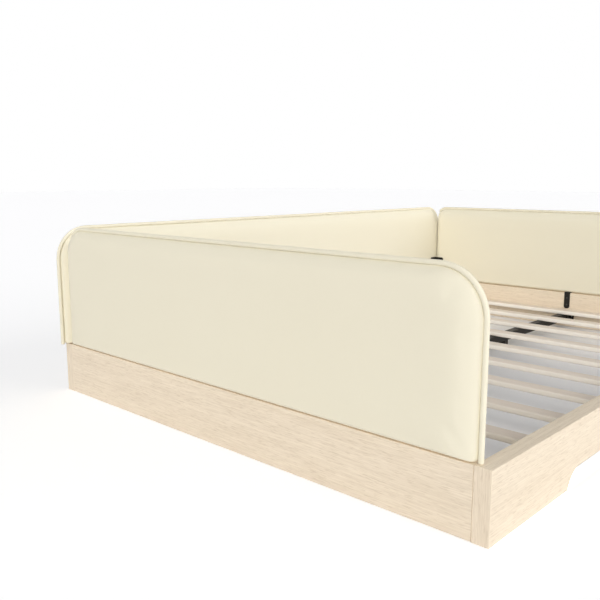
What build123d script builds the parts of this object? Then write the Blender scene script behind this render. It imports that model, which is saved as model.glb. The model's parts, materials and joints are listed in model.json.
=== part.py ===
# Floor bed for a child: a low timber frame with a slatted base and three padded guard panels.
# X runs along the foot end, Y from the foot to the head, Z up. The origin is on the floor,
# under the middle of the whole bed. All lengths are in millimetres.
from math import asin, degrees
import os

from build123d import *

os.makedirs("parts", exist_ok=True)

# Driving sizes: the mattress space and the timber
inner_width = 1400.0
inner_length = 2008.0
rail_thickness = 38.0
rail_height = 150.0
rail_edge_round = 2.0

# Cut-out under each side rail
cutout_height = 41.0
cutout_corner = 60.0
cutout_end_distance = 337.0
cutout_depth_below = 130.0

# Padded panels
panel_thickness = 48.0
panel_height = 355.0
panel_free_radius = 92.0
panel_butt_radius = 65.0
panel_lower_radius = 12.0
panel_least_radius = 6.0
panel_butt_gap = 0.5
panel_free_end_proud = 2.5
panel_side_end_proud = 3.0
pad_soft_edge = 16.0
board_thickness = 16.0
board_edge_inset = 10.0
board_fit = 0.3
piping_radius = 6.0
piping_proud = 10.5
piping_side_count = 12

# Each row: share of the pad's depth, inset of the ends and top, and inset of the lower edge,
# the last two as shares of the soft edge
pad_profile_shares = [
    (0.0, 0.22, 0.0), (0.2, 0.0, 0.0), (0.64, 0.18, 0.06), (0.86, 0.55, 0.35), (0.965, 1.15, 0.95),
    (1.0, 3.2, 3.0),
]

# Slats and the cleats that carry their ends
slat_count = 10
slat_width = 50.0
slat_thickness = 17.0
slat_top_height = 79.0
slat_end_gap = 3.0
slat_head_gap = 16.0
slat_foot_gap = 114.0
slat_edge_round = 6.0
cleat_width = 26.0
cleat_height = 20.0
cleat_end_gap = 1.0
cleat_chamfer = 3.0

# Steel centre beam, its hangers, legs and levelling glides
beam_size = 30.0
beam_wall = 2.0
beam_corner = 3.0
beam_end_gap = 4.0
leg_size = 28.0
leg_wall = 2.0
leg_bottom_height = 14.0
leg_spread_share = 0.4
plug_flange = 3.0
plug_depth = 15.0
plug_fit = 0.2
glide_radius = 13.0
glide_base_height = 5.0
glide_edge_chamfer = 1.5
glide_stud_radius = 4.0
glide_stud_fit = 0.05
glide_stud_length = 22.0
hanger_plate = 2.5
hanger_fit = 0.3
hanger_reach = 32.0
hanger_wing = 18.0
hanger_height = 38.0
hanger_corner = 4.0

# Steel straps that hold the panels on the rails
strap_width = 25.0
strap_thickness = 3.0
strap_slat_gap = 2.0
strap_foot = 30.0
strap_end_round = 10.0
strap_bend = 2.0
strap_notch_fit = 0.5
strap_screw_end_distance = 17.0
strap_upper_screw_share = 0.32
strap_end_margin = 150.0
strap_side_spacing = 600.0

# Steel corner brackets between two panels, and the small angles of the frame
bracket_thickness = 3.0
bracket_below_rail_top = 49.0
bracket_above_rail_top = 111.0
bracket_end_wing = 50.0
bracket_side_wing = 42.0
bracket_corner = 8.0
bracket_bend = 2.0
bracket_screw_end_distance = 32.0
bracket_screw_side_distance = 27.0
bracket_rail_screw_drop = 25.0
bracket_low_screw_rise = 35.0
bracket_high_screw_rise = 87.0
angle_wing = 40.0
angle_thickness = 3.0
angle_bottom_height = 6.0
angle_height = 34.0
angle_corner = 5.0
angle_bend = 2.0
angle_screw_distance = 26.0

# Screws and dowels
screw_radius = 2.0
screw_head_radius = 4.0
screw_fit = 0.1
fastener_side_count = 6
bracket_screw_length = 32.0
strap_screw_length = 24.0
strap_board_screw_length = 22.0
angle_screw_length = 24.0
slat_screw_length = 32.0
cleat_screw_length = 50.0
hanger_screw_length = 24.0
slat_screw_inset = 16.0
cleat_screw_step_count = 2
dowel_radius = 4.0
dowel_length = 40.0
dowel_fit = 0.1
dowel_low_height = 45.0
dowel_top_distance = 38.0

# Places worked out from the driving sizes
frame_width = inner_width + 2 * rail_thickness
frame_length = inner_length + 2 * rail_thickness
panel_overhang = panel_thickness - rail_thickness
overall_width = frame_width + panel_overhang
end_panel_spread = frame_length + 2 * panel_overhang
frame_left = panel_overhang - overall_width / 2
frame_right = overall_width / 2
frame_middle = (frame_left + frame_right) / 2
inner_left = frame_left + rail_thickness
inner_right = frame_right - rail_thickness
head_face = inner_length / 2
slat_pitch = (inner_length - slat_head_gap - slat_foot_gap - slat_width) / (slat_count - 1)
slat_underside = slat_top_height - slat_thickness
slat_length = inner_width - 2 * slat_end_gap
beam_underside = slat_underside - beam_size
leg_offset = frame_length * leg_spread_share / 2
hanger_inside = beam_size + 2 * hanger_fit
strap_drop = rail_height - slat_top_height - strap_slat_gap
strap_screw_drops = (strap_drop - strap_screw_end_distance, strap_drop * strap_upper_screw_share)
bracket_bottom_height = rail_height - bracket_below_rail_top
bracket_height = bracket_below_rail_top + bracket_above_rail_top

up = (0, 0, 1)
left = (-1, 0, 0)
right = (1, 0, 0)
toward_head = (0, 1, 0)
toward_foot = (0, -1, 0)


def save(shape, name):
    shape.label = name
    export_step(shape, f"parts/{name}.step")


def facing(point, outward):
    """A plane at a point whose Z looks outward, used to place screws and holes."""
    return Plane(origin=point, z_dir=outward)


def make_screw(length, fit=0):
    """A countersunk wood screw, head at Z = 0, pointing down. Its hole is the same, grown by a fit."""
    head_height = screw_head_radius - screw_radius
    with BuildPart() as screw:
        for radius, height in ((screw_head_radius, 0), (screw_radius, -head_height)):
            with BuildSketch(Plane.XY.offset(height)):
                RegularPolygon(radius + fit, fastener_side_count)
        loft(ruled=True)
        with BuildSketch(Plane.XY.offset(-head_height)):
            RegularPolygon(screw_radius + fit, fastener_side_count)
        extrude(amount=head_height - length - fit)
    return screw.part


def cut_screws(places, length, fit=screw_fit):
    """The countersunk holes of screws that stand at these places, in whatever they pass through."""
    hole = make_screw(length, fit)
    with Locations(*places):
        add(hole, mode=Mode.SUBTRACT)


def make_dowel(fit=0):
    """A dowel along Z, its middle at the origin. Its hole is the same, grown by a fit."""
    with BuildPart() as dowel:
        with BuildSketch():
            RegularPolygon(dowel_radius + fit, fastener_side_count)
        extrude(amount=dowel_length / 2 + fit, both=True)
    return dowel.part


def cut_dowels(places):
    """The holes of the dowels that stand at these places."""
    hole = make_dowel(dowel_fit)
    with Locations(*places):
        add(hole, mode=Mode.SUBTRACT)


def save_screws(name, sets):
    """One node of loose screws: sets holds pairs of places and a screw."""
    with BuildPart() as screws:
        for places, screw in sets:
            with Locations(*places):
                add(screw)
    save(screws.part, name)


# Screw and dowel places, each a plane whose Z looks out of the surface that the head lies in

def on_both_ends(places):
    """Each place at the head end and its mirror at the foot end."""
    mirrored = [Plane(origin=(p.origin.X, -p.origin.Y, p.origin.Z),
                      z_dir=(p.z_dir.X, -p.z_dir.Y, p.z_dir.Z)) for p in places]
    return places + mirrored


def on_both_sides(places):
    """Each place at the left side and its mirror at the right side."""
    mirrored = [Plane(origin=(2 * frame_middle - p.origin.X, p.origin.Y, p.origin.Z),
                      z_dir=(-p.z_dir.X, p.z_dir.Y, p.z_dir.Z)) for p in places]
    return places + mirrored


first_slat_y = slat_foot_gap + slat_width / 2 - inner_length / 2
slat_places = [first_slat_y + step * slat_pitch for step in range(slat_count)]
slat_screw_left = inner_left + slat_end_gap + slat_screw_inset
slat_screw_places = on_both_sides([facing((slat_screw_left, y, slat_top_height), up)
                                   for y in slat_places])

cleat_screw_height = slat_underside - cleat_height / 2
cleat_screw_rows = [slat_y + slat_pitch / 2 for slat_y in slat_places[:-1:cleat_screw_step_count]]
cleat_screw_places = on_both_sides([facing((inner_left + cleat_width, y, cleat_screw_height), right)
                                    for y in cleat_screw_rows])

angle_screw_height = angle_bottom_height + angle_height / 2
angle_side_places = on_both_ends(on_both_sides([
    facing((inner_left + angle_thickness, head_face - angle_screw_distance, angle_screw_height), right)]))
angle_end_places = on_both_ends(on_both_sides([
    facing((inner_left + angle_screw_distance, head_face - angle_thickness, angle_screw_height),
           toward_foot)]))

hanger_screw_offset = hanger_inside / 2 + hanger_plate + hanger_wing / 2
hanger_top_height = beam_underside - hanger_plate + hanger_height
hanger_screw_height = hanger_top_height - hanger_height / 2
hanger_screw_places = on_both_ends([
    facing((frame_middle + side * hanger_screw_offset, head_face - hanger_plate, hanger_screw_height),
           toward_foot) for side in (-1, 1)])

end_strap_rows = [frame_middle, inner_right - strap_end_margin]
side_strap_rows = [step * strap_side_spacing for step in (-1, 0, 1)]


def strap_frame(point, inward):
    """A plane on a rail's inner face at its top edge: X along the rail, Y up, Z inward."""
    along = {toward_head: left, toward_foot: right, right: toward_head}[inward]
    return Plane(origin=point, x_dir=along, z_dir=inward)


foot_strap_frames = [strap_frame((x, -head_face, rail_height), toward_head) for x in end_strap_rows]
head_strap_frames = [strap_frame((x, head_face, rail_height), toward_foot) for x in end_strap_rows]
side_strap_frames = [strap_frame((inner_left, y, rail_height), right) for y in side_strap_rows]


def strap_rail_screws(frames):
    """The two screws of each strap that go into the rail."""
    return [facing(frame.from_local_coords((0, -drop, strap_thickness)), tuple(frame.z_dir))
            for frame in frames for drop in strap_screw_drops]


def strap_board_screws(frames):
    """The screw of each strap that goes up into the panel's board."""
    setback = rail_thickness + panel_overhang - panel_thickness / 2
    return [facing(frame.from_local_coords((0, 0, -setback)), (0, 0, -1)) for frame in frames]


bracket_side_rail_places = on_both_ends([
    facing((inner_left + bracket_thickness, head_face - bracket_screw_side_distance,
            rail_height - bracket_rail_screw_drop), right)])
bracket_end_rail_places = on_both_ends([
    facing((inner_left + bracket_screw_end_distance, head_face - bracket_thickness,
            rail_height - bracket_rail_screw_drop), toward_foot)])
bracket_side_panel_places = on_both_ends([
    facing((inner_left + bracket_thickness, head_face - bracket_screw_side_distance,
            rail_height + rise), right)
    for rise in (bracket_low_screw_rise, bracket_high_screw_rise)])
bracket_end_panel_places = on_both_ends([
    facing((inner_left + bracket_screw_end_distance, head_face - bracket_thickness,
            rail_height + rise), toward_foot)
    for rise in (bracket_low_screw_rise, bracket_high_screw_rise)])

dowel_places = on_both_ends(on_both_sides([
    facing((inner_left, head_face + rail_thickness / 2, height), right)
    for height in (dowel_low_height, rail_height - dowel_top_distance)]))


def is_at(places, x=None, y_sign=None):
    """Places on one side (x given) or at one end of the bed (sign of Y given)."""
    kept = places
    if x is not None:
        kept = [p for p in kept if (p.origin.X - frame_middle) * x > 0]
    if y_sign is not None:
        kept = [p for p in kept if p.origin.Y * y_sign > 0]
    return kept


# End rails, which stand between the side rails

def make_end_rail(y_sign):
    """The foot or head rail, with its dowel holes and pilot holes."""
    middle = y_sign * (head_face + rail_thickness / 2)
    strap_frames = head_strap_frames if y_sign > 0 else foot_strap_frames
    with BuildPart() as rail:
        with BuildSketch(Plane.YZ.offset(inner_left)):
            with Locations((middle, 0)):
                Rectangle(rail_thickness, rail_height, align=(Align.CENTER, Align.MIN))
        extrude(amount=inner_width)
        fillet(rail.edges().filter_by(Axis.X), rail_edge_round)
        cut_dowels(is_at(dowel_places, y_sign=y_sign))
        cut_screws(is_at(angle_end_places, y_sign=y_sign), angle_screw_length)
        cut_screws(is_at(hanger_screw_places, y_sign=y_sign), hanger_screw_length)
        cut_screws(strap_rail_screws(strap_frames), strap_screw_length)
        cut_screws(is_at(bracket_end_rail_places, y_sign=y_sign), bracket_screw_length)
    return rail.part


# Side rails, full length, standing on two feet with a long low cut-out between them

def make_side_rail(x_sign):
    """The left or right rail, with its cut-out, dowel holes and pilot holes."""
    start = frame_left if x_sign < 0 else inner_right
    with BuildPart() as rail:
        with BuildSketch(Plane.YZ.offset(start)):
            Rectangle(frame_length, rail_height, align=(Align.CENTER, Align.MIN))
            with Locations((0, cutout_height)):
                RectangleRounded(frame_length - 2 * cutout_end_distance, cutout_depth_below,
                                 cutout_corner, align=(Align.CENTER, Align.MAX), mode=Mode.SUBTRACT)
        extrude(amount=rail_thickness)
        large_faces = rail.faces().filter_by(Axis.X)
        fillet(large_faces.edges(), rail_edge_round)
        cut_dowels(is_at(dowel_places, x=x_sign))
        cut_screws(is_at(cleat_screw_places, x=x_sign), cleat_screw_length)
        cut_screws(is_at(angle_side_places, x=x_sign), angle_screw_length)
        if x_sign < 0:
            cut_screws(strap_rail_screws(side_strap_frames), strap_screw_length)
            cut_screws(bracket_side_rail_places, bracket_screw_length)
    return rail.part


save(make_end_rail(-1), "foot_rail")
save(make_end_rail(1), "head_rail")
save(make_side_rail(-1), "side_rail_left")
save(make_side_rail(1), "side_rail_right")

with BuildPart() as frame_dowels:
    with Locations(*dowel_places):
        add(make_dowel())
save(frame_dowels.part, "frame_dowels")


# Small steel angles inside the frame's corners

def make_angle(x_sign, y_sign):
    """An equal angle, bent from plate, that ties an end rail to a side rail."""
    with BuildPart() as angle:
        with BuildSketch(Plane.XY.offset(angle_bottom_height)):
            with BuildLine():
                Polyline((0, 0), (angle_wing, 0), (angle_wing, angle_thickness),
                         (angle_thickness, angle_thickness), (angle_thickness, angle_wing),
                         (0, angle_wing), close=True)
            make_face()
        extrude(amount=angle_height)
        inner_bend = angle.edges().filter_by(Axis.Z).sort_by_distance(
            (angle_thickness, angle_thickness, angle_bottom_height + angle_height / 2))[0]
        fillet(inner_bend, angle_bend)
        far_x = angle.faces().sort_by(Axis.X)[-1].edges().filter_by(Axis.Y)
        far_y = angle.faces().sort_by(Axis.Y)[-1].edges().filter_by(Axis.X)
        fillet(far_x, angle_corner)
        fillet(far_y, angle_corner)
        cut_screws([facing((angle_thickness, angle_screw_distance, angle_screw_height), right),
                    facing((angle_screw_distance, angle_thickness, angle_screw_height), toward_head)],
                   angle_screw_length)
    placed = angle.part
    if x_sign > 0:
        placed = mirror(placed, about=Plane.YZ)
    if y_sign > 0:
        placed = mirror(placed, about=Plane.XZ)
    corner = Vector(inner_left if x_sign < 0 else inner_right, y_sign * head_face, 0)
    return placed.translate(corner)


for end_name, y_sign in (("foot", -1), ("head", 1)):
    for side_name, x_sign in (("left", -1), ("right", 1)):
        save(make_angle(x_sign, y_sign), f"frame_angle_{end_name}_{side_name}")
save_screws("frame_angle_screws", [(angle_side_places + angle_end_places, make_screw(angle_screw_length))])


# Cleats along the side rails

def make_cleat(x_sign):
    """A batten on the inner face of a side rail that carries the slat ends."""
    middle = inner_left + cleat_width / 2 if x_sign < 0 else inner_right - cleat_width / 2
    with BuildPart() as cleat:
        with BuildSketch(Plane.XZ.offset(-inner_length / 2 + cleat_end_gap)):
            with Locations((middle, slat_underside)):
                Rectangle(cleat_width, cleat_height, align=(Align.CENTER, Align.MAX))
        extrude(amount=inner_length - 2 * cleat_end_gap)
        inner_faces = cleat.faces().sort_by(Axis.X)
        inner_face = inner_faces[-1] if x_sign < 0 else inner_faces[0]
        chamfer(inner_face.edges().filter_by(Axis.Y).sort_by(Axis.Z)[0], cleat_chamfer)
        cut_screws(is_at(cleat_screw_places, x=x_sign), cleat_screw_length)
        cut_screws(is_at(slat_screw_places, x=x_sign), slat_screw_length)
    return cleat.part


save(make_cleat(-1), "cleat_left")
save(make_cleat(1), "cleat_right")
save_screws("cleat_screws", [(cleat_screw_places, make_screw(cleat_screw_length))])

# Slats, screwed down at both ends
for index, slat_y in enumerate(slat_places):
    with BuildPart() as slat:
        with BuildSketch(Plane.YZ.offset(inner_left + slat_end_gap)):
            with Locations((slat_y, slat_underside)):
                RectangleRounded(slat_width, slat_thickness, slat_edge_round,
                                 align=(Align.CENTER, Align.MIN))
        extrude(amount=slat_length)
        cut_screws([p for p in slat_screw_places if abs(p.origin.Y - slat_y) < slat_width],
                   slat_screw_length)
    save(slat.part, f"slat_{index + 1:02d}")
save_screws("slat_screws", [(slat_screw_places, make_screw(slat_screw_length))])

# Centre beam: a square steel tube from the foot rail to the head rail
with BuildPart() as centre_beam:
    with BuildSketch(Plane.XZ.offset(beam_end_gap - inner_length / 2)):
        with Locations((frame_middle, slat_underside)):
            RectangleRounded(beam_size, beam_size, beam_corner, align=(Align.CENTER, Align.MAX))
        with Locations((frame_middle, slat_underside - beam_wall)):
            RectangleRounded(beam_size - 2 * beam_wall, beam_size - 2 * beam_wall,
                             beam_corner - beam_wall, align=(Align.CENTER, Align.MAX),
                             mode=Mode.SUBTRACT)
    extrude(amount=inner_length - 2 * beam_end_gap)
save(centre_beam.part, "centre_beam")


# Hangers: a screwed plate with a U-shaped seat that the beam drops into

def make_hanger():
    """The hanger at the head rail; the foot one is its mirror."""
    plate_width = hanger_inside + 2 * hanger_plate + 2 * hanger_wing
    seat_top = beam_underside + beam_size / 2
    with BuildPart() as hanger:
        with BuildSketch(Plane.XZ.offset(-head_face)):
            with Locations((frame_middle, hanger_top_height)):
                RectangleRounded(plate_width, hanger_height, hanger_corner,
                                 align=(Align.CENTER, Align.MAX))
        extrude(amount=hanger_plate)
        with BuildSketch(Plane.XZ.offset(hanger_plate - head_face)):
            with Locations((frame_middle, beam_underside - hanger_plate)):
                Rectangle(hanger_inside + 2 * hanger_plate, seat_top - beam_underside + hanger_plate,
                          align=(Align.CENTER, Align.MIN))
            with Locations((frame_middle, beam_underside)):
                Rectangle(hanger_inside, beam_size, align=(Align.CENTER, Align.MIN),
                          mode=Mode.SUBTRACT)
        extrude(amount=hanger_reach)
        ears = hanger.edges().filter_by(Axis.X).group_by(Axis.Y)[0].group_by(Axis.Z)[-1]
        fillet(ears, hanger_corner)
        cut_screws(is_at(hanger_screw_places, y_sign=1), hanger_screw_length)
    return hanger.part


head_hanger = make_hanger()
save(head_hanger, "beam_hanger_head")
save(mirror(head_hanger, about=Plane.XZ), "beam_hanger_foot")
save_screws("beam_hanger_screws", [(hanger_screw_places, make_screw(hanger_screw_length))])


# Legs under the beam, each with a plastic plug and a screw-in levelling glide

def make_leg(y):
    """A short square tube welded under the beam."""
    with BuildPart() as leg:
        with BuildSketch(Plane.XY.offset(leg_bottom_height)):
            with Locations((frame_middle, y)):
                RectangleRounded(leg_size, leg_size, leg_wall)
                Rectangle(leg_size - 2 * leg_wall, leg_size - 2 * leg_wall, mode=Mode.SUBTRACT)
        extrude(amount=beam_underside - leg_bottom_height)
    return leg.part


def make_plug(y):
    """The plug that closes the leg and holds the glide's stud."""
    body = leg_size - 2 * leg_wall - 2 * plug_fit
    with BuildPart() as plug:
        with BuildSketch(Plane.XY.offset(leg_bottom_height - plug_flange)):
            with Locations((frame_middle, y)):
                RectangleRounded(leg_size, leg_size, leg_wall)
        extrude(amount=plug_flange)
        with BuildSketch(Plane.XY.offset(leg_bottom_height)):
            with Locations((frame_middle, y)):
                Rectangle(body, body)
        extrude(amount=plug_depth)
        with Locations((frame_middle, y, leg_bottom_height)):
            Hole(glide_stud_radius + glide_stud_fit)
    return plug.part


def make_glide(y):
    """The levelling glide: a round foot with a threaded stud, shown by its outer size."""
    with BuildPart() as glide:
        with BuildSketch():
            with Locations((frame_middle, y)):
                Circle(glide_radius)
        extrude(amount=glide_base_height)
        chamfer(glide.edges().group_by(Axis.Z)[0], glide_edge_chamfer)
        chamfer(glide.edges().group_by(Axis.Z)[-1], glide_edge_chamfer)
        with BuildSketch(Plane.XY.offset(glide_base_height)):
            with Locations((frame_middle, y)):
                Circle(glide_stud_radius)
        extrude(amount=glide_stud_length)
    return glide.part


for end_name, y_sign in (("foot", -1), ("head", 1)):
    save(make_leg(y_sign * leg_offset), f"beam_leg_{end_name}")
    save(make_plug(y_sign * leg_offset), f"leg_plug_{end_name}")
    save(make_glide(y_sign * leg_offset), f"leg_glide_{end_name}")


# Padded panels: a board between two soft halves that meet at a sunk seam halfway through

def outline_face(plane, length, radii, edge_inset, lower_inset):
    """The panel's outline with its rounded corners, drawn in by the given insets."""
    with BuildSketch(plane) as face:
        with Locations((0, lower_inset)):
            Rectangle(length - 2 * edge_inset, panel_height - edge_inset - lower_inset,
                      align=(Align.CENTER, Align.MIN))
        for row, end, radius in ((-1, 0, radii[0]), (-1, -1, radii[1]),
                                 (0, 0, panel_lower_radius), (0, -1, panel_lower_radius)):
            corner = face.vertices().group_by(Axis.Y)[row].sort_by(Axis.X)[end]
            fillet(corner, max(radius - edge_inset, panel_least_radius))
    return face.sketch


def make_board(plane, length, radii, strap_frames):
    """The board inside a panel, with a notch over each strap's foot."""
    outline = outline_face(plane.offset(-board_thickness / 2), length, radii, board_edge_inset, 0)
    with BuildPart() as board:
        extrude(outline, amount=board_thickness)
        cut_strap_notches(strap_frames)
        cut_screws(strap_board_screws(strap_frames), strap_board_screw_length)
        cut_screws(bracket_side_panel_places + bracket_end_panel_places, bracket_screw_length)
    return board.part


def cut_strap_notches(strap_frames):
    """Room for the straps' feet under the board and the inner pad."""
    with Locations(*strap_frames):
        Box(strap_width + 2 * strap_notch_fit, strap_thickness, 2 * (strap_foot + strap_notch_fit),
            align=(Align.CENTER, Align.MIN, Align.CENTER), mode=Mode.SUBTRACT)


def make_pad(plane, length, radii, direction, strap_frames):
    """One soft half: direction is 1 for the outer half and -1 for the inner one."""
    reach = direction * panel_thickness / 2
    outlines = [outline_face(plane.offset(reach * depth_share), length, radii,
                             edge_share * pad_soft_edge, lower_share * pad_soft_edge)
                for depth_share, edge_share, lower_share in pad_profile_shares]
    board_room = outline_face(plane, length, radii, board_edge_inset - board_fit, 0)
    with BuildPart() as pad:
        loft(outlines, ruled=True)
        extrude(board_room, amount=direction * board_thickness / 2, mode=Mode.SUBTRACT)
        if direction < 0:
            cut_strap_notches(strap_frames)
            cut_screws(bracket_side_panel_places + bracket_end_panel_places,
                       bracket_screw_length, board_fit)
    return pad.part


def make_piping(plane, length, radii):
    """The thick piping along a panel's seam: up the free ends, round the corners and along the
    top. Where the panel butts on another one, it tucks in at the turn of that corner."""
    rise = piping_proud - piping_radius
    top = panel_height + rise
    ways = []
    for side, radius in ((-1, radii[0]), (1, radii[1])):
        turn = (side * (length / 2 - radius), panel_height - radius)
        tuck = 90
        if radius == panel_butt_radius:
            tuck = degrees(asin(radius / (radius + piping_proud)))
        ways.append((side, radius + rise, turn, tuck))
    with BuildPart() as piping:
        with BuildLine(plane) as path:
            for side, bend, turn, tuck in ways:
                CenterArc(turn, bend, 90, -side * tuck)
                if tuck == 90:
                    Line((turn[0] + side * bend, turn[1]), (turn[0] + side * bend, 0))
            Line((ways[0][2][0], top), (ways[1][2][0], top))
        with BuildSketch(Plane(origin=path.wire() @ 0, z_dir=path.wire() % 0)):
            RegularPolygon(piping_radius, piping_side_count)
        sweep(path=path.wire())
    return piping.part


end_panel_length = inner_width - panel_butt_gap + panel_free_end_proud
end_panel_middle = inner_right + panel_free_end_proud - end_panel_length / 2
side_panel_length = end_panel_spread + 2 * panel_side_end_proud
seam_from_middle = end_panel_spread / 2 - panel_thickness / 2
side_seam_x = panel_thickness / 2 - overall_width / 2
panels = {
    "foot": (Plane(origin=(end_panel_middle, -seam_from_middle, rail_height), x_dir=right,
                   z_dir=toward_foot),
             end_panel_length, (panel_butt_radius, panel_free_radius), foot_strap_frames),
    "head": (Plane(origin=(end_panel_middle, seam_from_middle, rail_height), x_dir=left,
                   z_dir=toward_head),
             end_panel_length, (panel_free_radius, panel_butt_radius), head_strap_frames),
    "side": (Plane(origin=(side_seam_x, 0, rail_height), x_dir=toward_foot, z_dir=left),
             side_panel_length, (panel_free_radius, panel_free_radius), side_strap_frames),
}
for panel_name, (panel_plane, panel_length, panel_radii, panel_straps) in panels.items():
    save(make_board(panel_plane, panel_length, panel_radii, panel_straps),
         f"{panel_name}_panel_board")
    save(make_pad(panel_plane, panel_length, panel_radii, 1, panel_straps),
         f"{panel_name}_panel_outer_pad")
    save(make_pad(panel_plane, panel_length, panel_radii, -1, panel_straps),
         f"{panel_name}_panel_inner_pad")
    save(make_piping(panel_plane, panel_length, panel_radii), f"{panel_name}_panel_piping")


# Straps: bent flat bar, one leg down the rail's inner face and one under the panel

def make_strap():
    """A strap in its own frame: X along the rail, Y up from the rail's top, Z inward."""
    with BuildPart() as strap:
        with BuildSketch(Plane.YZ.offset(-strap_width / 2)):
            with BuildLine():
                Polyline((-strap_drop, 0), (-strap_drop, strap_thickness),
                         (strap_thickness, strap_thickness), (strap_thickness, -strap_foot),
                         (0, -strap_foot), (0, 0), close=True)
            make_face()
        extrude(amount=strap_width)
        outer_bend = strap.edges().filter_by(Axis.X).sort_by_distance(
            (0, strap_thickness, strap_thickness))[0]
        fillet(outer_bend, strap_bend)
        low_corners = strap.edges().filter_by(Axis.Z).group_by(Axis.Y)[0]
        fillet(low_corners, strap_end_round)
    return strap.part


strap_shape = make_strap()
strap_sets = {"foot": foot_strap_frames, "head": head_strap_frames, "side": side_strap_frames}
for panel_name, strap_frames in strap_sets.items():
    for index, strap_place in enumerate(strap_frames):
        with BuildPart() as strap_node:
            with Locations(strap_place):
                add(strap_shape)
            cut_screws(strap_rail_screws([strap_place]), strap_screw_length)
            cut_screws(strap_board_screws([strap_place]), strap_board_screw_length)
        save(strap_node.part, f"panel_strap_{panel_name}_{index + 1}")
all_strap_frames = foot_strap_frames + head_strap_frames + side_strap_frames
save_screws("panel_strap_screws", [
    (strap_rail_screws(all_strap_frames), make_screw(strap_screw_length)),
    (strap_board_screws(all_strap_frames), make_screw(strap_board_screw_length))])


# Corner brackets: bent plate across the inside corner of two panels and down onto the rails

def make_bracket():
    """The bracket at the head end; the foot one is its mirror."""
    with BuildPart() as bracket:
        with BuildSketch(Plane.XY.offset(bracket_bottom_height)):
            with BuildLine():
                Polyline((inner_left, head_face), (inner_left + bracket_end_wing, head_face),
                         (inner_left + bracket_end_wing, head_face - bracket_thickness),
                         (inner_left + bracket_thickness, head_face - bracket_thickness),
                         (inner_left + bracket_thickness, head_face - bracket_side_wing),
                         (inner_left, head_face - bracket_side_wing), close=True)
            make_face()
        extrude(amount=bracket_height)
        middle_height = bracket_bottom_height + bracket_height / 2
        inner_bend = bracket.edges().filter_by(Axis.Z).sort_by_distance(
            (inner_left + bracket_thickness, head_face - bracket_thickness, middle_height))[0]
        fillet(inner_bend, bracket_bend)
        end_tip = bracket.faces().sort_by(Axis.X)[-1].edges().filter_by(Axis.Y)
        side_tip = bracket.faces().sort_by(Axis.Y)[0].edges().filter_by(Axis.X)
        fillet(end_tip, bracket_corner)
        fillet(side_tip, bracket_corner)
        head_places = bracket_side_rail_places + bracket_end_rail_places
        head_places = head_places + bracket_side_panel_places + bracket_end_panel_places
        cut_screws(is_at(head_places, y_sign=1), bracket_screw_length)
    return bracket.part


head_bracket = make_bracket()
save(head_bracket, "corner_bracket_head")
save(mirror(head_bracket, about=Plane.XZ), "corner_bracket_foot")
save_screws("corner_bracket_screws", [
    (bracket_side_rail_places + bracket_end_rail_places + bracket_side_panel_places
     + bracket_end_panel_places, make_screw(bracket_screw_length))])
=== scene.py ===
import json

import bmesh
import bpy
import numpy as np
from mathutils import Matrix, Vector


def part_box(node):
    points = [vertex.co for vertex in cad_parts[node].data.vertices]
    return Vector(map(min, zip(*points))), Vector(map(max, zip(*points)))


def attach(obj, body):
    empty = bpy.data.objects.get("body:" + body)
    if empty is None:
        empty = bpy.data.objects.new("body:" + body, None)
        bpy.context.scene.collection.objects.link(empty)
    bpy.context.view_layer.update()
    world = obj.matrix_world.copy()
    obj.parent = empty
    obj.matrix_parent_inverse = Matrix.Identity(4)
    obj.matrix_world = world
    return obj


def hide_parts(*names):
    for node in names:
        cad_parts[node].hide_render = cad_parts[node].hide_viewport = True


# A low floor bed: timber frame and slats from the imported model, padded guard panels made here.
# Metres, +Z up, +Y from the foot end to the head end, the open long side at +X.

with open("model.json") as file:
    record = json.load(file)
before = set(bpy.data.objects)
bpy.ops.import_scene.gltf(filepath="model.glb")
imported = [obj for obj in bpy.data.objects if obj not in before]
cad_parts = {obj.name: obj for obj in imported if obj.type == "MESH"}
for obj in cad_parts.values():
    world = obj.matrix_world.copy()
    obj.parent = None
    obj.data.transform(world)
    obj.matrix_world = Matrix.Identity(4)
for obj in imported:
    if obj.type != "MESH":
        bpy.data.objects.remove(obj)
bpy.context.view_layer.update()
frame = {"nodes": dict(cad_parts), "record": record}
nodes = frame["nodes"]
print("frame loaded:", len(nodes), "nodes")


# Small helpers

def addObject(name, mesh):
    piece = bpy.data.objects.new(name, mesh)
    bpy.context.scene.collection.objects.link(piece)
    return piece


# Puts an array of points and an array of four-sided faces into a new mesh, smooth shaded, and
# turns its faces outwards.
def meshFromArrays(name, points, quads):
    mesh = bpy.data.meshes.new(name)
    mesh.from_pydata(points.reshape(-1, 3).tolist(), [], quads.tolist())
    mesh.validate()
    work = bmesh.new()
    work.from_mesh(mesh)
    bmesh.ops.remove_doubles(work, verts=work.verts, dist=1e-6)
    bmesh.ops.recalc_face_normals(work, faces=work.faces)
    work.to_mesh(mesh)
    work.free()
    mesh.polygons.foreach_set("use_smooth", np.ones(len(mesh.polygons), bool))
    mesh.update()
    return mesh


# Faces of a grid whose points are numbered row by row: each joins a point, its right neighbour
# and the two above them. A closed grid also joins the last column to the first.
def gridFaces(rows, columns, closed=False):
    row, column = np.meshgrid(np.arange(rows - 1), np.arange(columns if closed else columns - 1),
                              indexing="ij")
    after = (column + 1) % columns
    quads = np.stack([row * columns + column, row * columns + after,
                      (row + 1) * columns + after, (row + 1) * columns + column], axis=-1)
    return quads.reshape(-1, 4)


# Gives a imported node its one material.
def assign(nodeName, material):
    mesh = nodes[nodeName].data
    mesh.materials.clear()
    mesh.materials.append(material)


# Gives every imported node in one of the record's material slots the material named for that slot.
def assignSlots(slotMaterials):
    for part in frame["record"]["subparts"]:
        if part["material_slot"] in slotMaterials:
            assign(part["node"], slotMaterials[part["material_slot"]])


# Shader node groups shared by several materials

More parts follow.
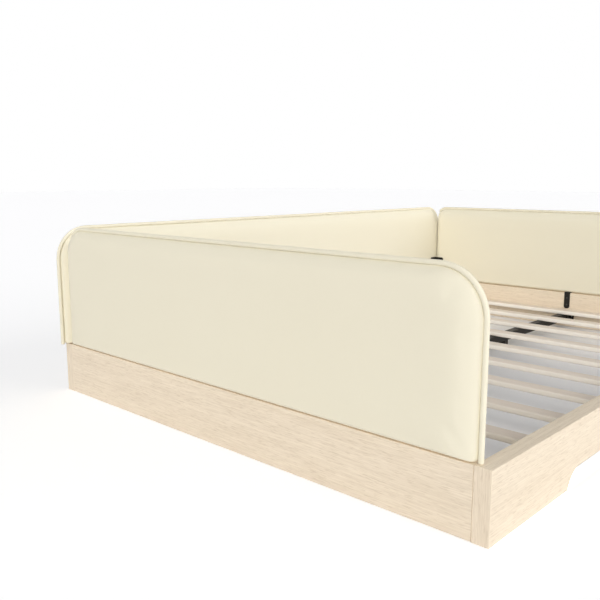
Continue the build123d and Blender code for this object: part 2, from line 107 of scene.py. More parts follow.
# An empty shader group: inputs are (name, socket type, default), outputs (name, type).
def newGroup(name, inputs, outputs):
    group = bpy.data.node_groups.new(name, "ShaderNodeTree")
    for label, kind, value in inputs:
        socket = group.interface.new_socket(label, in_out="INPUT", socket_type=kind)
        if value is not None:
            socket.default_value = value
    for label, kind in outputs:
        group.interface.new_socket(label, in_out="OUTPUT", socket_type=kind)
    start = group.nodes.new("NodeGroupInput")
    end = group.nodes.new("NodeGroupOutput")
    return group, start, end


# One shader node with its settings and plain input values.
def node(tree, kind, settings=None, inputs=None):
    made = tree.nodes.new(kind)
    for label, value in (settings or {}).items():
        setattr(made, label, value)
    for label, value in (inputs or {}).items():
        made.inputs[label].default_value = value
    return made


# A straight line from (low, newLow) to (high, newHigh), level beyond both.
def mapRange(group, value, low, high, newLow=0.0, newHigh=1.0):
    made = node(group, "ShaderNodeMapRange", {"clamp": True},
                {"From Min": low, "From Max": high, "To Min": newLow, "To Max": newHigh})
    group.links.new(value, made.inputs["Value"])
    return made.outputs["Result"]


# One math node; either side may be a socket or a number. Some operations use only the first.
def math(group, operation, first, second=0.0):
    made = node(group, "ShaderNodeMath", {"operation": operation})
    for place, value in enumerate((first, second)):
        if hasattr(value, "is_output"):
            group.links.new(value, made.inputs[place])
        else:
            made.inputs[place].default_value = value
    return made.outputs[0]


def mixColor(group, factor, first, second, blend="MIX"):
    made = node(group, "ShaderNodeMix", {"data_type": "RGBA", "blend_type": blend})
    for place, value in ((0, factor), (6, first), (7, second)):
        if hasattr(value, "is_output"):
            group.links.new(value, made.inputs[place])
        else:
            made.inputs[place].default_value = value
    return made.outputs[2]


# Wood grain, layer by layer: how many cells a metre has along and across the board, how the noise
# is built, the two noise values that become 0 and 1, and the layer's share of the tone
grainLayers = {
    "bands": {"cells": (1.1, 26), "detail": 3, "roughness": 0.5, "distortion": 0.4,
              "low": 0.3, "high": 0.7, "share": 0.22},
    "streaks": {"cells": (7, 210), "detail": 4, "roughness": 0.68, "distortion": 0.5,
                "low": 0.36, "high": 0.66, "share": 0.42},
    "fine": {"cells": (22, 700), "detail": 2, "roughness": 0.5, "distortion": 0.0,
             "low": 0.32, "high": 0.68, "share": 0.36},
    "pores": {"cells": (48, 540), "detail": 1, "roughness": 0.4, "distortion": 0.0,
              "low": 0.58, "high": 0.70},
}
# The roughness of the palest and the darkest grain, and how high the streaks stand over the pores
grainFinish = {"paleRoughness": 0.46, "darkRoughness": 0.62, "streakHeight": 0.4}


# One layer of grain: noise drawn out along X, so that its cells are long and narrow.
def grainLayer(group, vector, layer):
    along, across = layer["cells"]
    scaled = node(group, "ShaderNodeVectorMath", {"operation": "MULTIPLY"})
    scaled.inputs[1].default_value = (along, across, across)
    group.links.new(vector, scaled.inputs[0])
    noise = node(group, "ShaderNodeTexNoise", {"noise_dimensions": "3D"},
                 {"Scale": 1.0, "Detail": layer["detail"], "Roughness": layer["roughness"],
                  "Distortion": layer["distortion"]})
    group.links.new(scaled.outputs[0], noise.inputs["Vector"])
    return mapRange(group, noise.outputs["Fac"], layer["low"], layer["high"])


# Wood grain along X: the tone is the weighted sum of broad soft bands, streaks that wander a
# little and fine lines. Short pores darken it further and are cut into the surface.
def makeGrainGroup():
    group, start, end = newGroup(
        "woodGrain",
        [("Vector", "NodeSocketVector", None), ("Pale", "NodeSocketColor", (1, 1, 1, 1)),
         ("Dark", "NodeSocketColor", (0, 0, 0, 1)), ("Streak", "NodeSocketFloat", 0.5),
         ("Pores", "NodeSocketFloat", 0.5)],
        [("Color", "NodeSocketColor"), ("Roughness", "NodeSocketFloat"),
         ("Height", "NodeSocketFloat")])
    layers = {name: grainLayer(group, start.outputs["Vector"], layer)
              for name, layer in grainLayers.items()}
    mixed = 0.0
    for name in ("fine", "streaks", "bands"):
        part = math(group, "MULTIPLY", layers[name], grainLayers[name]["share"])
        mixed = math(group, "ADD", part, mixed)
    tone = math(group, "MULTIPLY", mixed, start.outputs["Streak"])
    wood = mixColor(group, tone, start.outputs["Pale"], start.outputs["Dark"])
    poreShade = math(group, "MULTIPLY", layers["pores"], start.outputs["Pores"])
    group.links.new(mixColor(group, poreShade, wood, start.outputs["Dark"]), end.inputs["Color"])
    roughness = mapRange(group, mixed, 0.0, 1.0, grainFinish["paleRoughness"],
                         grainFinish["darkRoughness"])
    group.links.new(roughness, end.inputs["Roughness"])
    ridges = math(group, "MULTIPLY", layers["streaks"], grainFinish["streakHeight"])
    group.links.new(math(group, "SUBTRACT", ridges, layers["pores"]), end.inputs["Height"])
    return group


# The coat's two noises, specks and slow clouds, and how far gloss strays from its middle
speckNoise = {"detail": 2.0, "low": 0.3, "high": 0.7, "cloudScale": 22.0, "cloudDetail": 3.0,
              "cloudLow": 0.35, "cloudHigh": 0.65, "glossSpread": 0.07}


# A fine pebbled coat: the specks are its bumps, and the mean of specks and clouds its faint tone
# and gloss.
def makeSpeckGroup():
    group, start, end = newGroup(
        "fineSpeck",
        [("Vector", "NodeSocketVector", None), ("Base", "NodeSocketColor", (1, 1, 1, 1)),
         ("Worn", "NodeSocketColor", (1, 1, 1, 1)), ("Scale", "NodeSocketFloat", 1000.0),
         ("Gloss", "NodeSocketFloat", 0.5)],
        [("Color", "NodeSocketColor"), ("Roughness", "NodeSocketFloat"),
         ("Height", "NodeSocketFloat")])
    specks = node(group, "ShaderNodeTexNoise", None, {"Detail": speckNoise["detail"]})
    clouds = node(group, "ShaderNodeTexNoise", None,
                  {"Scale": speckNoise["cloudScale"], "Detail": speckNoise["cloudDetail"]})
    group.links.new(start.outputs["Vector"], specks.inputs["Vector"])
    group.links.new(start.outputs["Vector"], clouds.inputs["Vector"])
    group.links.new(start.outputs["Scale"], specks.inputs["Scale"])
    speckTone = mapRange(group, specks.outputs["Fac"], speckNoise["low"], speckNoise["high"])
    cloudTone = mapRange(group, clouds.outputs["Fac"], speckNoise["cloudLow"],
                         speckNoise["cloudHigh"])
    tone = math(group, "MULTIPLY", math(group, "ADD", speckTone, cloudTone), 0.5)
    group.links.new(mixColor(group, tone, start.outputs["Base"], start.outputs["Worn"]),
                    end.inputs["Color"])
    spread = mapRange(group, tone, 0.0, 1.0, -speckNoise["glossSpread"], speckNoise["glossSpread"])
    group.links.new(math(group, "ADD", start.outputs["Gloss"], spread), end.inputs["Roughness"])
    group.links.new(specks.outputs["Fac"], end.inputs["Height"])
    return group


grainGroup = makeGrainGroup()
speckGroup = makeSpeckGroup()


# A material with an empty Principled shader, its plain values set on the sockets.
def newMaterial(name, shaderValues):
    material = bpy.data.materials.new(name)
    material.use_nodes = True
    tree = material.node_tree
    shader = tree.nodes["Principled BSDF"]
    for label, value in shaderValues.items():
        shader.inputs[label].default_value = value
    return material, tree, shader


def objectVector(tree):
    return tree.nodes.new("ShaderNodeTexCoord").outputs["Object"]


# Object coordinates with their axes swapped, so that the grain's X runs as turn says: x, y or z.
def turnedVector(tree, vector, turn, shift=(0, 0, 0)):
    parts = node(tree, "ShaderNodeSeparateXYZ")
    joined = node(tree, "ShaderNodeCombineXYZ")
    tree.links.new(vector, parts.inputs[0])
    order = {"x": (0, 1, 2), "y": (1, 0, 2), "z": (2, 1, 0)}[turn]
    for place, source in enumerate(order):
        tree.links.new(parts.outputs[source], joined.inputs[place])
    moved = node(tree, "ShaderNodeVectorMath", {"operation": "ADD"})
    moved.inputs[1].default_value = shift
    tree.links.new(joined.outputs[0], moved.inputs[0])
    return moved.outputs[0]


def addBump(tree, shader, height, distance):
    bump = node(tree, "ShaderNodeBump", None, {"Strength": 1.0, "Distance": distance})
    tree.links.new(height, bump.inputs["Height"])
    tree.links.new(bump.outputs["Normal"], shader.inputs["Normal"])


# How far a surface faces along an axis, either way: the size of that part of its normal.
def facing(tree, axis):
    parts = node(tree, "ShaderNodeSeparateXYZ")
    tree.links.new(tree.nodes.new("ShaderNodeNewGeometry").outputs["Normal"], parts.inputs[0])
    return math(tree, "ABSOLUTE", parts.outputs["xyz".index(axis)])


# How far a face must be turned along the board to count as its end, and, for the painted highlight
# on the long edges, a paler colour standing in for the light on them, how far toward the foot or
# head end it starts and is full, and how strong it gets
endFacing = 0.72
edgeFacing = {"start": 0.3, "full": 0.8, "most": 0.95}


# Wood whose grain runs along one axis, and upright on the faces square to that axis. The shift
# slides the pattern, so that two woods don't repeat each other. A painted highlight in the look, a
# paler colour for the light on the rounded long edges, covers them by a straight line over how far
# they face the foot or the head end.
def woodMaterial(name, look, along, shift=(0, 0, 0)):
    material, tree, shader = newMaterial(name, {"Specular IOR Level": look["specular"]})
    vector = objectVector(tree)
    choice = node(tree, "ShaderNodeMix", {"data_type": "VECTOR"})
    isEnd = math(tree, "GREATER_THAN", facing(tree, along), endFacing)
    tree.links.new(isEnd, choice.inputs[0])
    tree.links.new(turnedVector(tree, vector, along, shift), choice.inputs[4])
    tree.links.new(turnedVector(tree, vector, "z", shift), choice.inputs[5])
    grain = node(tree, "ShaderNodeGroup", {"node_tree": grainGroup},
                 {"Pale": look["pale"], "Dark": look["dark"], "Streak": look["streak"],
                  "Pores": look["pores"]})
    tree.links.new(choice.outputs[1], grain.inputs["Vector"])
    color = grain.outputs["Color"]
    # Painted highlight: a paler colour on the long edges, by how far they face the foot or the
    # head end.
    if "edge" in look:
        highlightShare = mapRange(tree, facing(tree, "y"), edgeFacing["start"], edgeFacing["full"], 0.0,
                        edgeFacing["most"])
        color = mixColor(tree, highlightShare, color, look["edge"])
    tree.links.new(color, shader.inputs["Base Color"])
    tree.links.new(grain.outputs["Roughness"], shader.inputs["Roughness"])
    addBump(tree, shader, grain.outputs["Height"], look["relief"])
    return material


# A painted, plated or moulded finish with the fine speck.
def coatMaterial(name, look):
    material, tree, shader = newMaterial(name, {"Metallic": look["metallic"],
                                                "Specular IOR Level": look["specular"]})
    speck = node(tree, "ShaderNodeGroup", {"node_tree": speckGroup},
                 {"Base": look["base"], "Worn": look["worn"], "Scale": look["scale"],
                  "Gloss": look["gloss"]})
    tree.links.new(objectVector(tree), speck.inputs["Vector"])
    tree.links.new(speck.outputs["Color"], shader.inputs["Base Color"])
    tree.links.new(speck.outputs["Roughness"], shader.inputs["Roughness"])
    addBump(tree, shader, speck.outputs["Height"], look["relief"])
    return material


# Timber: washed oak laminate, slat ply, softwood

oak = {"pale": (0.955, 0.84, 0.675, 1), "dark": (0.56, 0.44, 0.305, 1), "streak": 0.52,
       "pores": 0.32, "relief": 0.0002, "specular": 0.35}
# The slat ply's paler edge colour is a painted highlight for the light on the slats' long edges.
slatPly = {"pale": (0.90, 0.805, 0.705, 1), "dark": (0.68, 0.565, 0.455, 1), "streak": 0.42,
           "pores": 0.12, "relief": 0.00012, "specular": 0.35, "edge": (0.985, 0.925, 0.835, 1)}
softwood = {"pale": (0.74, 0.60, 0.42, 1), "dark": (0.55, 0.39, 0.23, 1), "streak": 0.8,
            "pores": 0.05, "relief": 0.0001, "specular": 0.35}

oakAcross = woodMaterial("oakAcross", oak, "x", (0.3, 0.1, 0.2))
oakAlong = woodMaterial("oakAlong", oak, "y")
slatWood = woodMaterial("slatWood", slatPly, "x", (0.1, 0.0, 0.0))
cleatWood = woodMaterial("cleatWood", softwood, "y")
for name in ("foot_rail", "head_rail"):
    assign(name, oakAcross)
for name in ("side_rail_left", "side_rail_right"):
    assign(name, oakAlong)
assignSlots({"slat_wood": slatWood, "cleat_wood": cleatWood})
print("timber finished")

# Steel and plastic

powderCoat = {"base": (0.010, 0.009, 0.008, 1), "worn": (0.018, 0.016, 0.013, 1), "scale": 1500.0,
              "gloss": 0.50, "metallic": 0.0, "specular": 0.28, "relief": 0.00006}
zincPlate = {"base": (0.34, 0.34, 0.35, 1), "worn": (0.46, 0.46, 0.46, 1), "scale": 900.0,
             "gloss": 0.38, "metallic": 1.0, "specular": 0.5, "relief": 0.00002}
blackOxide = {"base": (0.035, 0.035, 0.036, 1), "worn": (0.07, 0.07, 0.07, 1), "scale": 900.0,
              "gloss": 0.45, "metallic": 0.4, "specular": 0.5, "relief": 0.00002}
moulded = {"base": (0.022, 0.022, 0.023, 1), "worn": (0.034, 0.034, 0.035, 1), "scale": 2200.0,
           "gloss": 0.58, "metallic": 0.0, "specular": 0.4, "relief": 0.00004}

blackSteel = coatMaterial("blackSteel", powderCoat)
screwSteel = coatMaterial("screwSteel", zincPlate)
blackScrew = coatMaterial("blackScrew", blackOxide)
blackPlastic = coatMaterial("blackPlastic", moulded)
assignSlots({"black_steel": blackSteel, "screw_steel": screwSteel, "black_plastic": blackPlastic,
             "panel_board": cleatWood})
for name in ("panel_strap_screws", "corner_bracket_screws"):
    assign(name, blackScrew)
print("steel and plastic finished")

# Padded panels: a soft cover over foam, in two halves that meet at a sunk seam

cover = {"color": (0.873, 0.826, 0.668, 1), "shadeColor": (0.838, 0.785, 0.618, 1),
         "roughness": 0.62, "roughnessSpread": 0.05, "specular": 0.3, "sheen": 0.22,
         "sheenRoughness": 0.5, "weave": 2300.0, "weaveHeight": 0.35, "slubScale": 420.0,
         "slubTone": 0.45, "cloudScale": 5.0, "cloudTone": 0.35, "relief": 0.00007}
pad = {"freeRadius": 0.092, "buttRadius": 0.065, "headButtRadius": 0.044, "lowerRadius": 0.012,
       "leastRadius": 0.006, "wall": 0.002, "seamInset": 0.0022, "roll": 0.066, "buttRoll": 0.022,
       "lowerRoll": 0.012, "gridStep": 0.018, "arcSteps": 10, "wallRows": 4, "rollRows": 15,
       "fill": 0.85}
# The cover as a simulated cloth: held where the wall is nearer to the seam than heldShare of its
# width, pushed out for some frames, and let go no further than puffLimit
foam = {"heldShare": 0.6, "frames": 20, "puffLimit": 0.0018,
        "cloth": {"quality": 4, "mass": 0.4, "tension_stiffness": 30,
                  "compression_stiffness": 30, "shear_stiffness": 12, "bending_stiffness": 4,
                  "uniform_pressure_force": 3.0}}
# slowPull is in radians per pullLength
piping = {"radius": 0.0058, "proud": 0.0105, "sides": 16, "step": 0.012, "extraArcSteps": 6,
          "endRound": 0.003, "tipSteps": 5, "pullDepth": 0.00035, "pullLength": 0.055,
          "slowPull": 1.7}


# Smooth tight cloth: a fine over-and-under weave, the product of two crossed sine waves of weave
# radians per metre, broken up by the noise of uneven threads, with slow clouds of tone.
def coverMaterial(name, look):
    material, tree, shader = newMaterial(name, {"Sheen Weight": look["sheen"],
                                                "Sheen Roughness": look["sheenRoughness"],
                                                "Specular IOR Level": look["specular"]})
    vector = objectVector(tree)
    parts = node(tree, "ShaderNodeSeparateXYZ")
    tree.links.new(vector, parts.inputs[0])
    along = math(tree, "ADD", parts.outputs[0], parts.outputs[1])
    warp = math(tree, "SINE", math(tree, "MULTIPLY", along, look["weave"]))
    weft = math(tree, "SINE", math(tree, "MULTIPLY", parts.outputs[2], look["weave"]))
    weave = math(tree, "MULTIPLY", warp, weft)
    slub = node(tree, "ShaderNodeTexNoise", None, {"Scale": look["slubScale"], "Detail": 3.0})
    cloud = node(tree, "ShaderNodeTexNoise", None, {"Scale": look["cloudScale"], "Detail": 2.0})
    tree.links.new(vector, slub.inputs["Vector"])
    tree.links.new(vector, cloud.inputs["Vector"])
    tone = math(tree, "ADD", math(tree, "MULTIPLY", slub.outputs["Fac"], look["slubTone"]),
                math(tree, "MULTIPLY", cloud.outputs["Fac"], look["cloudTone"]))
    tree.links.new(mixColor(tree, tone, look["color"], look["shadeColor"]),
                   shader.inputs["Base Color"])
    roughness = mapRange(tree, slub.outputs["Fac"], 0.3, 0.7,
                         look["roughness"] - look["roughnessSpread"],
                         look["roughness"] + look["roughnessSpread"])
    tree.links.new(roughness, shader.inputs["Roughness"])
    raised = math(tree, "MULTIPLY", weave, look["weaveHeight"])
    addBump(tree, shader, math(tree, "ADD", raised, slub.outputs["Fac"]), look["relief"])
    return material


creamCover = coverMaterial("creamCover", cover)


# Left and right edges of the panel's outline from its foot up, as two arrays of points: a small
# lower arc, a straight side, then a large upper quarter ellipse. Insets draw in the left side,
# the right side, the top and the foot.
def outlineRows(length, height, radii, insets):
    steps = pad["arcSteps"]
    turn = np.linspace(0, np.pi / 2, steps)
    top = height - insets[2]
    edges = []
    for side, radius, inset in ((-1, radii[0], insets[0]), (1, radii[1], insets[1])):
        low = max(pad["lowerRadius"] - inset, pad["leastRadius"])
        across = max(radius - inset, pad["leastRadius"])
        rise = max(radius - insets[2], pad["leastRadius"])
        reach = length / 2 - inset
        lowX = reach - low + low * np.sin(turn)
        lowZ = insets[3] + low - low * np.cos(turn)
        highX = reach - across + across * np.cos(turn)
        highZ = top - rise + rise * np.sin(turn)
        count = int(round(height / pad["gridStep"]))
        share = np.linspace(0, 1, count + 2)[1:-1]
        sideX = np.full(count, reach)
        sideZ = lowZ[-1] + (highZ[0] - lowZ[-1]) * share
        edges.append(np.stack([side * np.concatenate([lowX, sideX, highX]),
                               np.concatenate([lowZ, sideZ, highZ])], axis=-1))
    return edges


# The whole face inside the outline: each row runs straight from its left to its right edge.
def faceGrid(length, height, radii, insets, columns):
    left, right = outlineRows(length, height, radii, insets)
    share = np.linspace(0, 1, columns)[None, :, None]
    return left[:, None, :] * (1 - share) + right[:, None, :] * share


# The points round the edge of a grid, once, as one ring.
def rimOf(grid):
    return np.concatenate([grid[0, :-1], grid[:-1, -1], grid[-1, :0:-1], grid[:0:-1, 0]])


# Rows of (depth, insets) from the seam to the face: a short wall that sinks at the seam as a
# parabola, then a quarter ellipse, wide and soft at a free end and the top, narrow where the pad
# butts on another panel and at the foot, where it stands on the rail.
def padProfile(depth, radii):
    rolls = [pad["roll"] if radius == pad["freeRadius"] else pad["buttRoll"] for radius in radii]
    rolls = np.array(rolls + [pad["roll"], pad["lowerRoll"]])
    rows = []
    for share in np.linspace(0, 1, pad["wallRows"]):
        sunk = pad["seamInset"] * (1 - share) ** 2
        rows.append((pad["wall"] * share, np.array((sunk, sunk, sunk, 0.0))))
    for turn in np.linspace(0, np.pi / 2, pad["rollRows"])[1:]:
        out = pad["wall"] + (depth - pad["wall"]) * np.sin(turn)
        rows.append((out, rolls * (1 - np.cos(turn))))
    return rows


# A closed pad in its own frame: X along the panel, Y out from the seam, Z up. It has rings that
# follow the profile, a flat back at the seam and a face at full depth, both with straight rows
# from edge to edge. Returns its points and faces.
def padShape(layout, radii):
    length, height = layout["length"], layout["height"]
    columns = int(round(length / pad["gridStep"]))
    grids = []
    for depth, insets in padProfile(layout["depth"], radii):
        grid = faceGrid(length, height, radii, insets, columns)
        level = np.full(grid.shape[:2], depth)
        grids.append(np.stack([grid[..., 0], level, grid[..., 1]], axis=-1))
    rings = np.stack([rimOf(grid) for grid in grids])
    parts = [rings.reshape(-1, 3)]
    faces = [gridFaces(len(rings), rings.shape[1], closed=True)]
    for grid in (grids[0], grids[-1]):
        offset = sum(len(part) for part in parts)
        faces.append(gridFaces(grid.shape[0], grid.shape[1]) + offset)
        parts.append(grid.reshape(-1, 3))
    return np.concatenate(parts), np.concatenate(faces)


def readPoints(mesh):
    points = np.empty(len(mesh.vertices) * 3)
    mesh.vertices.foreach_get("co", points)
    return points.reshape(-1, 3)


# Lets the foam push the cover out: cloth with a little pressure, held at the seam and the back.
# Each point's way is then limited by a hyperbolic tangent, so the cover stays tight.
def puff(piece, layout):
    mesh = piece.data
    rest = readPoints(mesh)
    fromSeam = np.abs(rest[:, 1 - layout["alongAxis"]] - layout["seamAt"])
    held = np.nonzero(fromSeam < pad["wall"] * foam["heldShare"])[0]
    group = piece.vertex_groups.new(name="held")
    group.add(held.tolist(), 1.0, "REPLACE")
    cloth = piece.modifiers.new("foam", "CLOTH")
    for label, value in foam["cloth"].items():
        setattr(cloth.settings, label, value)
    cloth.settings.vertex_group_mass = "held"
    cloth.settings.use_pressure = True
    cloth.settings.effector_weights.gravity = 0
    cloth.point_cache.frame_start = 1
    cloth.point_cache.frame_end = foam["frames"]
    for step in range(1, foam["frames"] + 1):
        bpy.context.scene.frame_set(step)
    depsgraph = bpy.context.evaluated_depsgraph_get()
    shaped = piece.evaluated_get(depsgraph)
    moved = readPoints(shaped.data)
    piece.modifiers.remove(cloth)
    piece.vertex_groups.clear()
    way = moved - rest
    size = np.linalg.norm(way, axis=1, keepdims=True)
    limit = foam["puffLimit"]
    eased = way / np.maximum(size, 1e-9) * limit * np.tanh(size / limit)
    mesh.vertices.foreach_set("co", (rest + eased).ravel())
    mesh.update()
    most = float(np.linalg.norm(eased, axis=1).max()) * 1000
    print(piece.name, "puffed by up to", round(most, 2), "mm")
    bpy.context.scene.frame_set(1)


# Turns a pad's own frame into the bed's: X goes along the panel, Y away from its seam.
def placePoints(points, layout):
    placed = np.empty_like(points)
    placed[:, layout["alongAxis"]] = layout["middle"] + points[:, 0]
    placed[:, 1 - layout["alongAxis"]] = layout["seamAt"] + layout["outward"] * points[:, 1]
    placed[:, 2] = layout["bottom"] + points[:, 2]
    return placed


# Where a pad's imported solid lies: its middle, length, height and seam plane.
def layoutOf(nodeName, alongAxis, outward):
    low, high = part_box(nodeName)
    across = 1 - alongAxis
    seamAt = low[across] if outward > 0 else high[across]
    return {"alongAxis": alongAxis, "outward": outward, "seamAt": seamAt,
            "middle": (low[alongAxis] + high[alongAxis]) / 2,
            "length": high[alongAxis] - low[alongAxis], "bottom": low[2],
            "height": high[2] - low[2], "depth": high[across] - low[across]}


# One half of a padded panel, puffed out by its foam.
def makePad(name, nodeName, layout, radii):
    points, faces = padShape(layout, radii)
    piece = addObject(name, meshFromArrays(name, placePoints(points, layout), faces))
    piece.data.materials.append(creamCover)
    puff(piece, layout)
    smooth = piece.modifiers.new("smooth", "SUBSURF")
    smooth.levels = 1
    smooth.render_levels = 1
    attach(piece, "root")
    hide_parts(nodeName)


# The piping's middle line in the panel's own frame: up each free end, round the corner arcs and
# along the top. At a butt corner it starts where its outer side meets the other panel.
def pipingPath(layout, radii):
    rise = piping["proud"] - piping["radius"]
    half, height = layout["length"] / 2, layout["height"]
    sides = []
    for side, radius in ((-1, radii[0]), (1, radii[1])):
        isFree = radius == pad["freeRadius"]
        reach = np.pi / 2 if isFree else np.arcsin(radius / (radius + piping["proud"]))
        count = int(round(reach * radius / piping["step"])) + piping["extraArcSteps"]
        turn = np.linspace(reach, 0, count)
        arc = np.stack([side * (half - radius + (radius + rise) * np.sin(turn)),
                        height - radius + (radius + rise) * np.cos(turn)], axis=-1)
        if isFree:
            tipTurn = np.linspace(0, np.pi / 2, piping["tipSteps"])[:-1]
            tip = piping["endRound"] * (1 - np.cos(tipTurn))
            rises = np.linspace(piping["endRound"], height - radius, int(height / piping["step"]))
            rises = np.concatenate([tip, rises[:-1]])
            run = np.stack([np.full(len(rises), side * (half + rise)), rises], axis=-1)
            arc = np.concatenate([run, arc])
        sides.append(arc)
    across = np.linspace(sides[0][-1, 0], sides[1][-1, 0],
                         int(layout["length"] / piping["step"]))[1:-1]
    top = np.stack([across, np.full(len(across), height + rise)], axis=-1)
    return np.concatenate([sides[0], top, sides[1][::-1]])


# The piping's radius by how far its line has run: it breathes a little as a sum of two sines,
# where the stitches pull it, and shrinks as a quarter circle at both ends.
def pipingSizes(run):
    toEnd = np.minimum(run, run[-1] - run)
    ends = np.clip(toEnd / piping["endRound"], 0, 1)
    ends = 1 - piping["endRound"] / piping["radius"] * (1 - np.sqrt(1 - (1 - ends) ** 2))
    pulls = run / piping["pullLength"]
    pull = np.sin(pulls * 2 * np.pi) + np.sin(pulls * piping["slowPull"])
    return (piping["radius"] - piping["pullDepth"] * (pull + 2) / 4) * ends


# The piping in the seam between the two halves: a circle carried along the middle line, square to
# the way it runs, and closed at both ends.
def makePiping(name, nodeName, layout, radii):
    path = pipingPath(layout, radii)
    steps = np.linalg.norm(np.diff(path, axis=0), axis=1)
    run = np.concatenate([[0], np.cumsum(steps)])
    ways = np.gradient(path, run, axis=0)
    ways /= np.linalg.norm(ways, axis=1, keepdims=True)
    sizes = pipingSizes(run)
    turn = np.linspace(0, 2 * np.pi, piping["sides"], endpoint=False)
    normals = np.stack([-ways[:, 1], ways[:, 0]], axis=-1)
    out = sizes[:, None] * np.cos(turn)[None, :]
    points = np.stack([path[:, :1] + normals[:, :1] * out, sizes[:, None] * np.sin(turn)[None, :],
                       path[:, 1:] + normals[:, 1:] * out], axis=-1)
    tips = np.stack([path[[0, -1], 0], [0, 0], path[[0, -1], 1]], axis=-1)
    rings = np.concatenate([np.repeat(tips[:1, None], len(turn), axis=1), points,
                            np.repeat(tips[1:, None], len(turn), axis=1)])
    faces = gridFaces(len(rings), len(turn), closed=True)
    piece = addObject(name, meshFromArrays(name, placePoints(rings.reshape(-1, 3), layout), faces))
    piece.data.materials.append(creamCover)
    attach(piece, "root")
    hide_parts(nodeName)


# Each panel: the axis it runs along, 0 for X and 1 for Y, which way its outer half faces along
# the other, and the radii of its upper corners, the one nearer to the axis's low end first
panels = {
    "foot": {"alongAxis": 0, "outward": -1, "radii": (pad["buttRadius"], pad["freeRadius"])},
    "head": {"alongAxis": 0, "outward": 1, "radii": (pad["headButtRadius"], pad["freeRadius"])},
    "side": {"alongAxis": 1, "outward": -1, "radii": (pad["freeRadius"], pad["freeRadius"])},
}
for panelName, panel in panels.items():
    for half, way in (("outer", panel["outward"]), ("inner", -panel["outward"])):
        nodeName = f"{panelName}_panel_{half}_pad"
        layout = layoutOf(nodeName, panel["alongAxis"], way)
        makePad(f"{panelName}Panel{half.title()}Pad", nodeName, layout, panel["radii"])
    makePiping(f"{panelName}PanelPiping", f"{panelName}_panel_piping", layout, panel["radii"])
print("padded panels finished")

# Studio: white floor and background that keep a soft shadow

studio = {"floorSize": 60.0, "floorDrop": 0.0006, "floorColor": (0.86, 0.86, 0.87, 1),
          "floorWhite": 0.42, "skyColor": (0.95, 0.97, 1.0, 1), "skyStrength": 0.30,
          "lampDistance": 4.0}
# The floor inside the frame, where the white lift paints light and shade: inner is the reach from
# the middle that gets no lift, so that the floor under the bed is left darker as a painted shade,
# nearRail the share of it beside a side rail, and underRail the share under the open side's rail,
# a painted light over the rail's shade
shaded = {"inner": 0.05, "nearRail": 0.47, "underRail": 2.0}
# Each lamp is far off and soft: where it shines from, how strong, how wide in degrees
lamps = {
    "keySide": {"from": (0.88, 0.36, 0.28), "strength": 1.34, "spread": 42,
                "color": (1.0, 0.99, 0.975)},
    "fillCorner": {"from": (0.66, -0.64, 0.40), "strength": 0.6, "spread": 34,
                   "color": (1.0, 0.98, 0.965)},
    "fillFront": {"from": (0.40, -0.87, 0.27), "strength": 1.78, "spread": 64,
                  "color": (1.0, 0.98, 0.96)},
}


# 1 for rays that show a surface in the picture, in gloss or through glass, 0 for light.
def pictureRay(tree):
    path = tree.nodes.new("ShaderNodeLightPath")
    seen = math(tree, "MAXIMUM", path.outputs["Is Camera Ray"], path.outputs["Is Glossy Ray"])
    return math(tree, "MAXIMUM", seen, path.outputs["Is Transmission Ray"])


# How much of the lift, painted light and shade, a point of the floor gets: all of it round the
# bed, more right under the open side's rail, where it shows through the cut-out and paints light
# over the rail's shade, and little inside the frame, a painted shade under the bed, rising in a
# straight line toward the side rails. The rails' packed boxes say where these parts lie; the
# frame's ends are taken halfway through the end rails.
def paintedLightShare(tree):
    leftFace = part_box("side_rail_left")[1][0]
    rightFace, rightOuter = [corner[0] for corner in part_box("side_rail_right")]
    middle = (leftFace + rightFace) / 2
    halfWidth, halfOuter = rightFace - middle, rightOuter - middle
    halfLength = sum(corner[1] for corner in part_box("head_rail")) / 2
    parts = node(tree, "ShaderNodeSeparateXYZ")
    moved = node(tree, "ShaderNodeVectorMath", {"operation": "SUBTRACT"})
    moved.inputs[1].default_value = (middle, 0, 0)
    tree.links.new(objectVector(tree), moved.inputs[0])
    tree.links.new(moved.outputs[0], parts.inputs[0])
    across = math(tree, "ABSOLUTE", parts.outputs[0])
    along = math(tree, "ABSOLUTE", parts.outputs[1])
    inside = mapRange(tree, across, shaded["inner"], halfWidth, 0.0, shaded["nearRail"])
    past = math(tree, "MAXIMUM", math(tree, "GREATER_THAN", across, halfWidth),
                math(tree, "GREATER_THAN", along, halfLength))
    under = math(tree, "MULTIPLY", math(tree, "LESS_THAN", across, halfOuter),
                 math(tree, "GREATER_THAN", parts.outputs[0], halfWidth))
    under = math(tree, "MULTIPLY", under, math(tree, "LESS_THAN", along, halfLength))
    share = math(tree, "MAXIMUM", inside, past)
    return math(tree, "MAXIMUM", share, math(tree, "MULTIPLY", under, shaded["underRail"]))


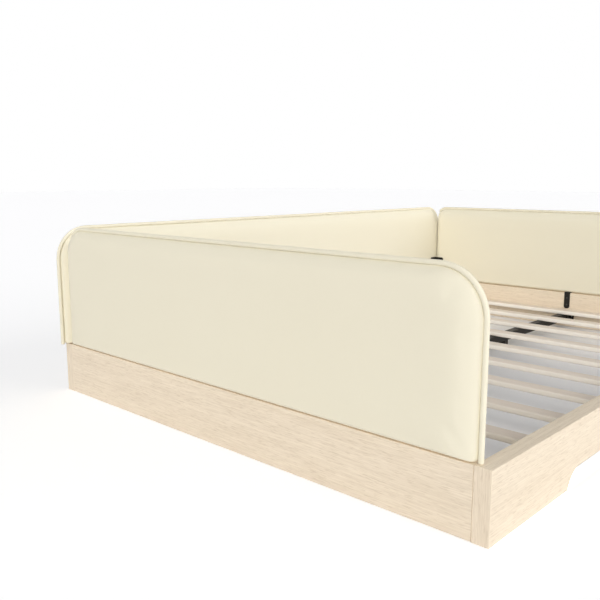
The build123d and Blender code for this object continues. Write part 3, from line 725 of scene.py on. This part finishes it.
def makeFloor():
    half = studio["floorSize"] / 2
    corners = np.array([(-half, -half, 0), (half, -half, 0), (-half, half, 0), (half, half, 0)])
    corners[:, 2] = -studio["floorDrop"]
    floor = addObject("studioFloor", meshFromArrays("studioFloor", corners, gridFaces(2, 2)))
    if floor.data.polygons[0].normal.z < 0:
        floor.data.flip_normals()
    material = bpy.data.materials.new("studioFloor")
    material.use_nodes = True
    tree = material.node_tree
    tree.nodes.clear()
    output = tree.nodes.new("ShaderNodeOutputMaterial")
    lit = node(tree, "ShaderNodeBsdfDiffuse", None, {"Color": studio["floorColor"]})
    white = node(tree, "ShaderNodeEmission", None, {"Color": (1, 1, 1, 1)})
    strength = math(tree, "MULTIPLY", pictureRay(tree), studio["floorWhite"])
    # Painted light and shade: the lift's share by where the point lies on the floor.
    strength = math(tree, "MULTIPLY", strength, paintedLightShare(tree))
    tree.links.new(strength, white.inputs["Strength"])
    both = tree.nodes.new("ShaderNodeAddShader")
    tree.links.new(lit.outputs[0], both.inputs[0])
    tree.links.new(white.outputs[0], both.inputs[1])
    tree.links.new(both.outputs[0], output.inputs["Surface"])
    floor.data.materials.append(material)


def makeWorld():
    world = bpy.data.worlds.new("studioWorld")
    bpy.context.scene.world = world
    world.use_nodes = True
    tree = world.node_tree
    tree.nodes.clear()
    output = tree.nodes.new("ShaderNodeOutputWorld")
    sky = node(tree, "ShaderNodeBackground", None,
               {"Color": studio["skyColor"], "Strength": studio["skyStrength"]})
    white = node(tree, "ShaderNodeBackground", None, {"Color": (1, 1, 1, 1), "Strength": 1.0})
    mix = tree.nodes.new("ShaderNodeMixShader")
    tree.links.new(pictureRay(tree), mix.inputs[0])
    tree.links.new(sky.outputs[0], mix.inputs[1])
    tree.links.new(white.outputs[0], mix.inputs[2])
    tree.links.new(mix.outputs[0], output.inputs["Surface"])


def makeLamps():
    for name, lamp in lamps.items():
        data = bpy.data.lights.new(name, "SUN")
        data.energy = lamp["strength"]
        data.angle = np.radians(lamp["spread"])
        data.color = lamp["color"]
        holder = addObject(name, data)
        holder.location = [studio["lampDistance"] * part for part in lamp["from"]]
        holder.rotation_euler = Vector(lamp["from"]).to_track_quat("Z", "Y").to_euler()


makeFloor()
makeWorld()
makeLamps()
print("studio finished")

# Camera: low, beyond the foot end on the open side, looking toward the side panel

view = {"place": (1.3256, -2.1643, 0.6644), "tilt": 80.359, "turn": 43.108, "lens": 43.51,
        "sensor": 36.0}
camera = addObject("camera", bpy.data.cameras.new("camera"))
camera.data.sensor_width = view["sensor"]
camera.data.lens = view["lens"]
camera.location = view["place"]
camera.rotation_euler = np.radians((view["tilt"], 0, view["turn"]))
bpy.context.scene.camera = camera
bpy.context.scene.view_settings.view_transform = "Standard"
